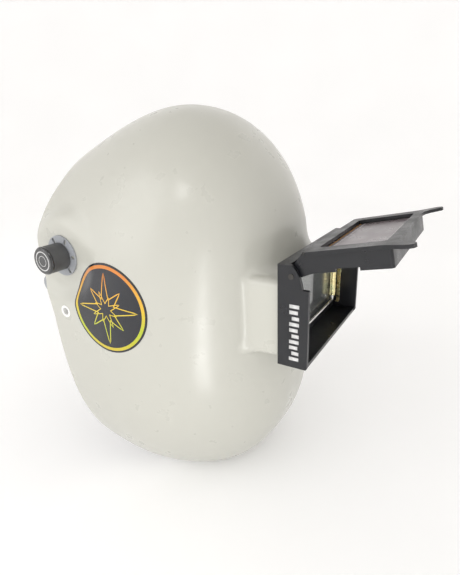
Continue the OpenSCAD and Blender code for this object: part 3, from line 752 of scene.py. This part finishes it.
def build_cap_rings():
    """A pale ring inlaid in the face of each knob's gloss cap."""
    n, back, front = 96, CAP_X - 0.05, CAP_X + 0.05
    loops = [[(back, outer), (front, outer), (front, inner), (back, inner)]
             for outer, inner in ((8.1, 7.2), (4.4, 4.0))]
    for side, where in SIDES:
        rings = []
        for loop in loops:
            verts = [(side * h, r * math.cos(2 * math.pi * i / n), r * math.sin(2 * math.pi * i / n))
                     for h, r in loop for i in range(n)]
            faces = [(k * n + i, k * n + (i + 1) % n, (k + 1) % 4 * n + (i + 1) % n, (k + 1) % 4 * n + i)
                     for k in range(4) for i in range(n)]
            rings.append(outward(add_object("ring", np.array(verts) * MM, faces, FINISH["white_ink"],
                                            smooth=False)))
        cap = join(rings, f"{where}_cap_rings")
        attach(cap, f"{where}_knob")


def join(parts, name):
    """Joins meshes into one object, keeping each part's material."""
    bm = bmesh.new()
    materials = []
    for part in parts:
        start = len(bm.faces)
        bm.from_mesh(part.data)
        bm.faces.ensure_lookup_table()
        slots = list(part.data.materials)
        for f in bm.faces[start:]:
            m = slots[f.material_index]
            if m not in materials:
                materials.append(m)
            f.material_index = materials.index(m)
        bpy.data.objects.remove(part)
    mesh = bpy.data.meshes.new(name)
    bm.to_mesh(mesh)
    bm.free()
    mesh.polygons.foreach_set("use_smooth", [True] * len(mesh.polygons))
    obj = bpy.data.objects.new(name, mesh)
    bpy.context.scene.collection.objects.link(obj)
    for m in materials:
        mesh.materials.append(m)
    return obj


# --- pads of the headgear ------------------------------------------------------------------

BAND_TILT, BAND_Z = math.radians(-14), 6
PAD_GAP = 0.3       # between a pad and the band it lines
SEAM = 0.8          # where the stitched seams run, as a share of a pad's half height


def tilted(p):
    """From the headband's own frame to the helmet's, in metres."""
    x, y, z = p
    z += BAND_Z
    c, s = math.cos(BAND_TILT), math.sin(BAND_TILT)
    return Vector((x, y * c - z * s, y * s + z * c)) * MM


def soft_band(name, a, b, cy, reach, half_h, thick, body, node, front=1):
    """A foam pad that follows the band's inside: puffed between its seams and stitched."""
    across, around, deep = 22, 150, 5
    verts, index = [], {}

    def at(i, j, k):
        """Point i round the band, j across it and k through it, as a rounded cushion."""
        t = math.radians(mix(-reach, reach, i / around))
        v = 2 * j / across - 1
        end = min(i, around - i) / around * 2 * math.radians(reach) * a / 6
        taper = min(1.0, math.sqrt(max(0.0, 1 - (1 - min(end, 1)) ** 2)) + 0.02)
        soft = (1 - abs(v) ** 5) ** 0.5 * taper
        seam = 1 - 0.30 * math.exp(-((abs(v) - SEAM) / 0.055) ** 2)
        depth = (0.25 + 0.75 * soft * seam) * thick
        ripple = 1 + 0.05 * math.sin(t * 31 + 2 * v) * (1 - v * v)
        d = PAD_GAP + depth * (k / deep) * (ripple if k == deep else 1)
        return tilted(((a - d) * math.sin(t), cy - front * (b - d) * math.cos(t), v * half_h))

    for i in range(around + 1):
        for j in range(across + 1):
            for k in range(deep + 1):
                if i in (0, around) or j in (0, across) or k in (0, deep):
                    index[i, j, k] = len(verts)
                    verts.append(at(i, j, k))
    faces = []
    for i in range(around):
        for j in range(across):
            for k in (0, deep):
                q = [index[i, j, k], index[i + 1, j, k], index[i + 1, j + 1, k], index[i, j + 1, k]]
                faces.append(q if k else q[::-1])
    for i in range(around):
        for k in range(deep):
            for j in (0, across):
                q = [index[i, j, k], index[i + 1, j, k], index[i + 1, j, k + 1], index[i, j, k + 1]]
                faces.append(q if j == 0 else q[::-1])
    for j in range(across):
        for k in range(deep):
            for i in (0, around):
                q = [index[i, j, k], index[i, j + 1, k], index[i, j + 1, k + 1], index[i, j, k + 1]]
                faces.append(q if i else q[::-1])
    obj = outward(add_object(name, verts, faces, FINISH["cloth"]))
    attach(obj, body)
    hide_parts(node)
    stitches = []
    for row in (-SEAM, SEAM):
        j = (row + 1) / 2 * across
        stitches += [stitch(at(i, j, deep), at(i + 0.62, j, deep)) for i in range(3, around - 3)]
    thread = join(stitches, name + "_stitching")
    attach(thread, body)


def stitch(a, b, r=0.45):
    """One short thread that dives in at both ends."""
    n, rings = 6, 5
    along = b - a
    side = along.cross(Vector((0, 0, 1))).normalized()
    up = side.cross(along).normalized()
    verts, faces = [], []
    for k in range(rings + 1):
        f = k / rings
        centre = a + along * f
        size = r * MM * math.sin(math.pi * (0.12 + 0.76 * f))
        for i in range(n):
            turn = 2 * math.pi * i / n
            verts.append(centre + (side * math.cos(turn) + up * math.sin(turn)) * size)
    for k in range(rings):
        faces += [(k * n + i, k * n + (i + 1) % n, (k + 1) * n + (i + 1) % n, (k + 1) * n + i)
                  for i in range(n)]
    return add_object("stitch", verts, faces, FINISH["thread"])


# --- everything together -------------------------------------------------------------------

FINISH = {
    "gelcoat": gelcoat(),
    "fibreglass": fibreglass_inside(),
    "black": moulded("black_plastic", (0.0085, 0.009, 0.0115), 0.34, coat=0.0),
    "headgear": moulded("headgear_plastic", (0.022, 0.022, 0.025), 0.42),
    "grey": moulded("grey_plastic", (0.33, 0.345, 0.37), 0.4, grain=900),
    "nylon": moulded("white_nylon", (0.82, 0.82, 0.80), 0.35, grain=800, vary=0.03),
    "knob": moulded("knob_grey", (0.075, 0.076, 0.078), 0.5, grain=1800, depth=0.0002),
    "gloss": moulded("knob_gloss", (0.006, 0.006, 0.007), 0.12, grain=200, depth=0.00005, coat=0.8),
    "steel": metal("steel", (0.62, 0.62, 0.63), 0.28),
    "wire": metal("bright_wire", (0.86, 0.85, 0.82), 0.2, brushed=(12, 1, 1)),
    "pin": metal("dull_pin", (0.09, 0.085, 0.08), 0.45),
    "brass": brass_plate(),
    "rubber": rubber(),
    "clear": glass("clear_glass", (0.93, 0.97, 0.96), 0.02, 0.95),
    "shade": glass("dark_glass", (0.02, 0.04, 0.022), 0.05, 0.2),
    "film": film(),
    "fibre": vulcanised_fibre(),
    "cloth": foam_cloth(),
    "thread": print_ink("thread", (0.10, 0.10, 0.105), 0.8),
    "label": print_ink("label_black", (0.006, 0.007, 0.012), 0.25),
    "ring": ring_ink(),
    "white_ink": print_ink("white_ink", (0.62, 0.62, 0.62), 0.4),
}

POLISH = {
    "stop_eyelets": ("nylon", 0.25), "stop_pegs": ("headgear", 0.4), "outer_washers": ("grey", 0.3),
    "lens_holder": ("black", 0.5), "backing_frame": ("black", 0.3), "holder_screws": ("steel", 0.3),
    "lens_gasket": ("rubber", 0.1), "clear_lens": ("clear", 0.2), "leaf_springs": ("brass", 0.15),
    "lid_hinge_pins": ("pin", 0.2), "lens_bail": ("wire", 0), "bail_sleeves": ("brass", 0.2),
    "lid_frame": ("black", 0.6), "lid_gasket": ("rubber", 0.1), "lid_cover_lens": ("film", 0.2),
    "shade_lens": ("shade", 0.2), "lid_lens_clip": ("steel", 0.15),
    "headband": ("headgear", 0.3), "crown_strap_right": ("headgear", 0.3),
    "crown_strap_left": ("headgear", 0.3), "crown_pin": ("headgear", 0.3),
    "rear_crown_strap": ("headgear", 0.3), "band_rivets": ("steel", 0.3),
    "right_pivot_arm": ("grey", 0.5), "left_pivot_arm": ("grey", 0.5), "pivot_studs": ("steel", 0.3),
    "inner_washers": ("fibre", 0.2),
    "right_knob_body": ("knob", 0.4), "right_knob_cap": ("gloss", 0.3), "right_knob_insert": ("brass", 0.2),
    "left_knob_body": ("knob", 0.4), "left_knob_cap": ("gloss", 0.3), "left_knob_insert": ("brass", 0.2),
    "rear_band": ("headgear", 0.3), "ratchet_housing": ("headgear", 0.5), "ratchet_cover": ("headgear", 0.4),
    "ratchet_spring": ("steel", 0.15), "ratchet_knob": ("knob", 0.6), "ratchet_pinion": ("nylon", 0.3),
}

for node, (finish, bevel) in POLISH.items():
    polish(node, FINISH[finish], bevel)

skin = build_shell()
build_badges(skin)
build_holder_marks()
build_cap_rings()
soft_band("sweatband_pad", 78, 88, -10, 62, 14, 4.6, "headgear", "sweatband")
soft_band("nape_cushion", 80.1, 60, 40, 34, 12, 5.2, "size_adjuster", "nape_pad", front=-1)

make_camera()
make_stage()
